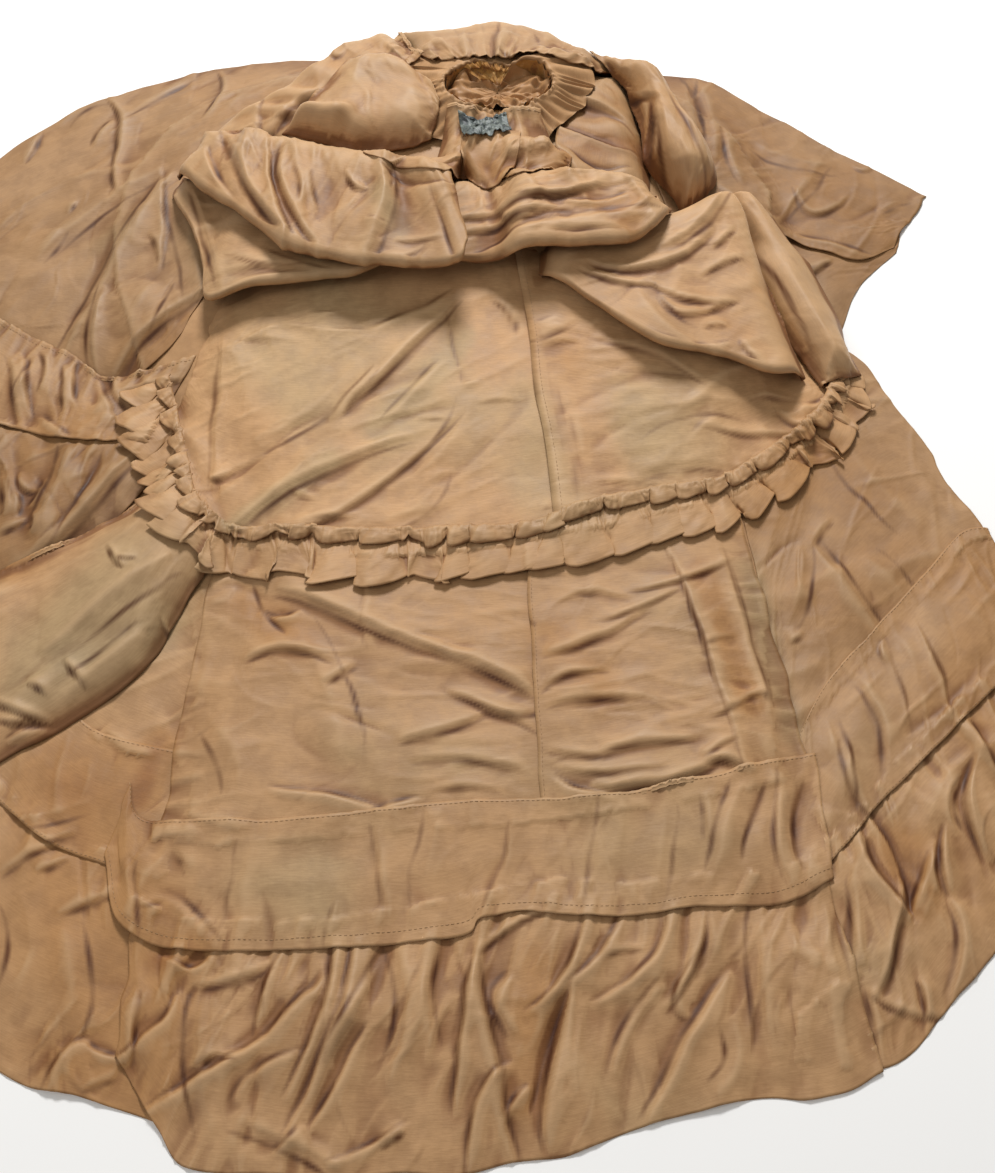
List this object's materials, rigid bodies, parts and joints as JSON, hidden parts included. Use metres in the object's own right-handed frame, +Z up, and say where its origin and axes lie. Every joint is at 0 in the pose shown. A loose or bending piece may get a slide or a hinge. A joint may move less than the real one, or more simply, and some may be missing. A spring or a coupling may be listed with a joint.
{
  "type": "skirt and draped overskirt of a bustle dress, laid out",
  "caption": "Laid-out bustle skirt with a gathered waist, draped apron edged in ruched frill, side drapes and a flounced train.",
  "frame": {"origin": "middle of the underside's box, on the surface that the garment lies on", "axes": "+Z up from the surface, -Y towards the front hem, +X to the right in the picture"},
  "size_m": [1.1359, 1.24, 0.1091],
  "materials": {
    "taffeta": "fawn shot silk taffeta with a soft sheen and pressed creases",
    "waist_tape": "golden-brown ribbed waist tape",
    "waist_scrap": "worn grey-blue lining scrap"
  },
  "bodies": {
    "root": {"hidden_layers": "taffeta", "train_panel_left": "taffeta", "train_panel_right": "taffeta", "train_band_left": "taffeta", "train_band_right": "taffeta", "train_flounce_left": "taffeta", "train_flounce_right": "taffeta", "front_panel_left": "taffeta", "front_panel_right": "taffeta", "front_band": "taffeta", "front_flounce": "taffeta", "apron_left": "taffeta", "apron_right": "taffeta", "apron_frill": "taffeta", "swag_under_left": "taffeta", "swag_left": "taffeta", "swag_right": "taffeta", "wing_right": "taffeta", "side_fold_right": "taffeta", "puff_left": "taffeta", "shell_left": "taffeta", "puff_right": "taffeta", "puff_back": "taffeta", "pocket_right": "taffeta", "knot": "taffeta", "drape_left": "taffeta", "drape_left_frill": "taffeta", "drape_right": "taffeta", "drape_right_lower": "taffeta", "side_strip_left": "taffeta", "side_recess_left": "taffeta", "waistband": "taffeta", "waist_tape": "waist_tape", "waist_hook_scrap": "waist_scrap"}
  },
  "joints": []
}
